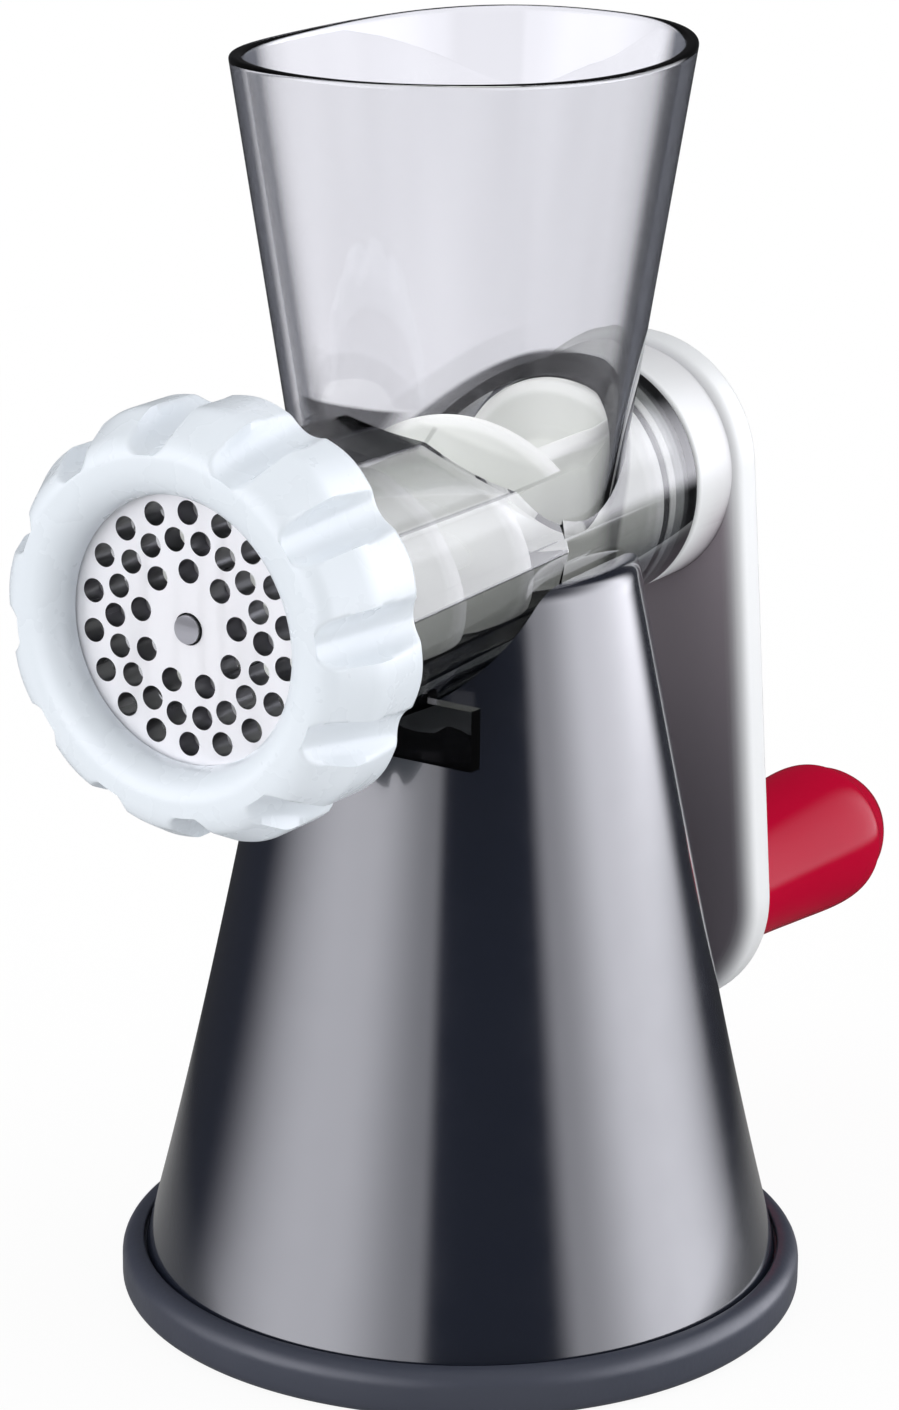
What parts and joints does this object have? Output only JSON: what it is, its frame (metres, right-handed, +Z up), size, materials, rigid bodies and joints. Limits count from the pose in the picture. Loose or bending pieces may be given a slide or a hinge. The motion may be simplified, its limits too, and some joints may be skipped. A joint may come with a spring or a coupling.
{
  "type": "hand crank meat grinder",
  "caption": "Tabletop meat grinder: suction-foot cone stand, clear hopper and barrel, screw-on ring with hole plate and knife, auger turned by a crank arm with a rotating knob.",
  "frame": {"origin": "centre of the round foot on the table, under the stand's axis", "axes": "+Z up; the auger axis lies along Y, with the outlet towards -Y and the crank at +Y; +X is to the right for a viewer who faces the outlet"},
  "size_m": [0.134, 0.242, 0.2461],
  "materials": {
    "anthracite": "glossy moulded plastic, blue-black",
    "rubber": "matt grey rubber",
    "seal_rubber": "black rubber",
    "black_plastic": "matt black moulded plastic",
    "steel": "bright ground steel",
    "clear_plastic": "clear moulded plastic with a faint smoke tint",
    "white_plastic": "satin white moulded plastic",
    "auger_white": "off-white moulded plastic",
    "grey_panel": "satin dark grey plastic",
    "red_plastic": "glossy red plastic"
  },
  "bodies": {
    "stand": {"base_cone": "anthracite", "foot_ring": "rubber", "inner_floor": "black_plastic", "floor_screws": "steel", "suction_cup": "rubber", "hopper_body": "clear_plastic"},
    "crank": {"auger": "auger_white", "auger_pin": "steel", "cross_knife": "steel", "seal_ring": "seal_rubber", "crank_arm": "white_plastic", "crank_panel": "grey_panel", "crank_screw": "steel", "screw_cap": "white_plastic", "knob_spindle": "steel"},
    "knob": {"knob_grip": "red_plastic", "knob_plug": "red_plastic"},
    "plate": {"hole_plate": "steel"},
    "ring": {"outlet_ring": "white_plastic"},
    "lever": {"suction_lever": "black_plastic"},
    "stud": {"pull_stud": "steel"}
  },
  "joints": [
    {"name": "crank_turn", "type": "hinge", "parent": "stand", "child": "crank", "pos_m": [0, 0.05, 0.1549], "axis": [0, 1, 0], "continuous": true},
    {"name": "knob_turn", "type": "hinge", "parent": "crank", "child": "knob", "pos_m": [0.00697, 0.09, 0.05765], "axis": [0, 1, 0], "continuous": true},
    {"name": "plate_slide", "type": "slide", "parent": "stand", "child": "plate", "axis": [0, -1, 0], "range_m": [0, 0.0181]},
    {"name": "ring_turn", "type": "hinge", "parent": "plate", "child": "ring", "pos_m": [0, -0.09, 0.1549], "axis": [0, -1, 0], "range_deg": [0, 1080]},
    {"name": "lever_turn", "type": "hinge", "parent": "stand", "child": "lever", "pos_m": [0, 0, 0.015], "axis": [0, 0, -1], "range_deg": [0, 50]},
    {"name": "stud_lift", "type": "slide", "parent": "stand", "child": "stud", "axis": [0, 0, 1], "range_m": [0, 0.003], "deforming": ["suction_cup"]}
  ],
  "couplings": [
    {"joint": "plate_slide", "follows": "ring_turn", "m_per_rad": 0.00095493},
    {"joint": "lever_turn", "follows": "stud_lift", "rad_per_m": 290.88}
  ]
}
